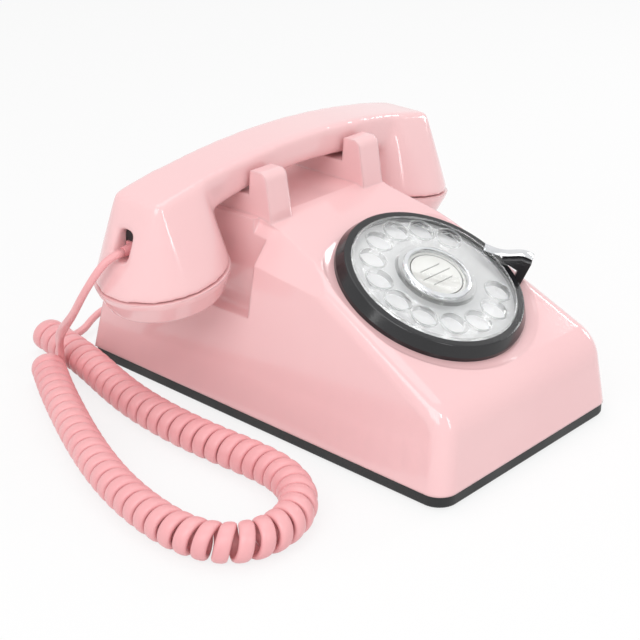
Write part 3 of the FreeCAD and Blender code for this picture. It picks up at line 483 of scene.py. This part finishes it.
def read_between(wanted, known, rows):
    """Rows of numbers read at the wanted places between their known ones, each column in straight steps."""
    return np.column_stack([np.interp(wanted, known, column) for column in rows.T])


# The coil is the axis of the route plus the coil's radius times cos of the turn to the left and sin up.
route = np.array([(x, y, COIL_HEIGHT) for x, y in COIL_ROUTE]) * MM
axis = drawn_line("coil_axis", route, COIL_FINENESS)
travel = np.concatenate([[0], np.cumsum(np.linalg.norm(np.diff(axis, axis=0), axis=1))])
share = np.linspace(0, 1, int(COIL_TURNS * POINTS_A_TURN) + 1)
core = read_between(share * travel[-1], travel, axis)
heading = read_between(share * travel[-1], travel, along_line(axis))
left = np.column_stack([-heading[:, 1], heading[:, 0], np.zeros(len(share))])
turn = (-2 * math.pi * COIL_TURNS * share)[:, None]
helix = core + COIL_RADIUS * MM * (left * np.cos(turn) + np.array([0, 0, 1]) * np.sin(turn))

# The cable's points run from the handset through the coil, out of its last turn and on to the jack.
handset_run = np.array(HANDSET_RUN) * MM
coil_lead = helix[-1] - np.array(COIL_LEAD_OUT)[:, None] * MM * left[-1]
base_run = np.vstack([coil_lead, np.array(BASE_RUN) * MM])
cable_points = np.vstack([handset_run, helix, base_run])

# The flat side follows the coil's axis, and its width fills the pitch, which closes inside a bend.
to_coil = np.linspace(0, 1, len(handset_run))[:, None]
from_coil = np.linspace(0, 1, len(base_run))[:, None]
broad = np.vstack([
    (1 - to_coil) * HANDSET_BROAD_WAY + to_coil * heading[0],
    heading,
    (1 - from_coil) * heading[-1] + from_coil * BASE_BROAD_WAY,
])
bend = np.gradient(np.unwrap(np.arctan2(heading[:, 1], heading[:, 0])), share * travel[-1])
pitch = travel[-1] / COIL_TURNS * (1 - bend * COIL_RADIUS * MM * np.cos(turn[:, 0]))
coil_half = np.minimum(CABLE_HALF_WIDTH * MM, PITCH_FILLED * pitch)
tail_half = TAIL_HALF_WIDTH * MM
half_width = np.concatenate([
    tail_half + (coil_half[0] - tail_half) * to_coil[:, 0] ** HANDSET_FLARE_POWER,
    coil_half,
    coil_half[-1] + (tail_half - coil_half[-1]) * np.minimum(1, BASE_FLARE_RATE * from_coil[:, 0]),
])

cable_line = drawn_line("cable_line", cable_points, CABLE_FINENESS)
spot = np.linspace(0, len(cable_points) - 1, len(cable_line))
half_width = np.interp(spot, np.arange(len(half_width)), half_width)
broad = read_between(spot, np.arange(len(broad)), broad)
points, faces = carried_oval(cable_line, broad, half_width, CABLE_HALF_THICK * MM, CABLE_SIDES)
cable = new_piece("cable", points, faces, cord_pvc, smooth=True)
dress(plug_pink, "handset_plug", "base_plug")
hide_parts("curly_cord", "handset_tail", "base_tail")
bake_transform(cable)


# Studio: a white floor and a white surround under soft lamps, with the camera in front of the phone,
# above it and to its left.
AMBIENT_STRENGTH = 0.6
SURROUND_GLOW_SHARE = 1.0
FLOOR_HALF = 6.0
FLOOR_WHITE = (0.86, 0.86, 0.86, 1)
FLOOR_ROUGHNESS = 0.9
FLOOR_GLOW_SHARE = 0.8
CAMERA_PLACE = Vector((-0.4940, -0.4378, 0.3382))
CAMERA_AIM = Vector((-0.0125, 0.0039, 0.0359))
CAMERA_LENS = 88.8
CAMERA_SENSOR = 36


def seen_white(tree, shade, glow, share):
    """Shows a share of glow to the camera, to mirrors and to glass, and shade to all other light."""
    path = tree.nodes.new("ShaderNodeLightPath")
    looked_at = path.outputs["Is Camera Ray"]
    for look in ("Is Glossy Ray", "Is Transmission Ray"):
        either = tree.nodes.new("ShaderNodeMath")
        either.operation = "MAXIMUM"
        tree.links.new(looked_at, either.inputs[0])
        tree.links.new(path.outputs[look], either.inputs[1])
        looked_at = either.outputs[0]
    amount = tree.nodes.new("ShaderNodeMath")
    amount.operation = "MULTIPLY"
    amount.inputs[1].default_value = share
    tree.links.new(looked_at, amount.inputs[0])
    mix = tree.nodes.new("ShaderNodeMixShader")
    tree.links.new(amount.outputs[0], mix.inputs["Fac"])
    tree.links.new(shade.outputs[0], mix.inputs[1])
    tree.links.new(glow.outputs[0], mix.inputs[2])
    return mix.outputs[0]


scene = bpy.context.scene
scene.world = bpy.data.worlds.new("surround")
scene.world.use_nodes = True
surround = scene.world.node_tree
ambient = surround.nodes["Background"]
ambient.inputs["Color"].default_value = (1, 1, 1, 1)
ambient.inputs["Strength"].default_value = AMBIENT_STRENGTH
white = surround.nodes.new("ShaderNodeBackground")
white.inputs["Color"].default_value = (1, 1, 1, 1)
white.inputs["Strength"].default_value = 1.0
surround.links.new(seen_white(surround, ambient, white, SURROUND_GLOW_SHARE),
                   surround.nodes["World Output"].inputs["Surface"])

floor_white = bpy.data.materials.new("floor_white")
floor_white.use_nodes = True
floor_tree = floor_white.node_tree
floor_shade = floor_tree.nodes["Principled BSDF"]
floor_shade.inputs["Base Color"].default_value = FLOOR_WHITE
floor_shade.inputs["Roughness"].default_value = FLOOR_ROUGHNESS
floor_glow = floor_tree.nodes.new("ShaderNodeEmission")
floor_tree.links.new(seen_white(floor_tree, floor_shade, floor_glow, FLOOR_GLOW_SHARE),
                     floor_tree.nodes["Material Output"].inputs["Surface"])
floor_corners = FLOOR_HALF * np.array([(-1, -1, 0), (1, -1, 0), (1, 1, 0), (-1, 1, 0)])
floor = new_piece("floor", floor_corners, [(0, 1, 2, 3)], floor_white, smooth=False)


def lamp(name, place, aim, width, height, power):
    """Rectangular soft lamp at a point, turned to face another."""
    light = bpy.data.lights.new(name, "AREA")
    light.shape = "RECTANGLE"
    light.size = width
    light.size_y = height
    light.energy = power
    holder = bpy.data.objects.new(name, light)
    holder.location = place
    holder.rotation_euler = (Vector(aim) - Vector(place)).to_track_quat("-Z", "Y").to_euler()
    scene.collection.objects.link(holder)


lamp("lamp_left", (-1.05, -0.25, 0.85), (0, 0, 0.06), width=0.8, height=0.8, power=5.5)
lamp("lamp_above", (0.05, 0.1, 1.3), (0, 0, 0.06), width=0.9, height=0.9, power=3.4)
lamp("lamp_right", (0.95, -0.25, 0.3), (-0.02, -0.02, 0.08), width=0.2, height=0.26, power=1.2)
lamp("lamp_dish", (0.87, -0.05, 0.655), (0, -0.05, 0.075), width=0.24, height=0.08, power=0.7)
lamp("lamp_strip", (-0.15, -1.0, 0.55), (-0.03, 0.02, 0.09), width=0.11, height=0.45, power=1.15)
lamp("lamp_window", (-0.62, -0.66, 0.9), (0, 0, 0.07), width=0.2, height=0.2, power=1.2)

lens = bpy.data.cameras.new("camera")
lens.lens = CAMERA_LENS
lens.sensor_width = CAMERA_SENSOR
camera = bpy.data.objects.new("camera", lens)
camera.location = CAMERA_PLACE
camera.rotation_euler = (CAMERA_AIM - CAMERA_PLACE).to_track_quat("-Z", "Y").to_euler()
scene.collection.objects.link(camera)
scene.camera = camera
scene.view_settings.view_transform = "Standard"
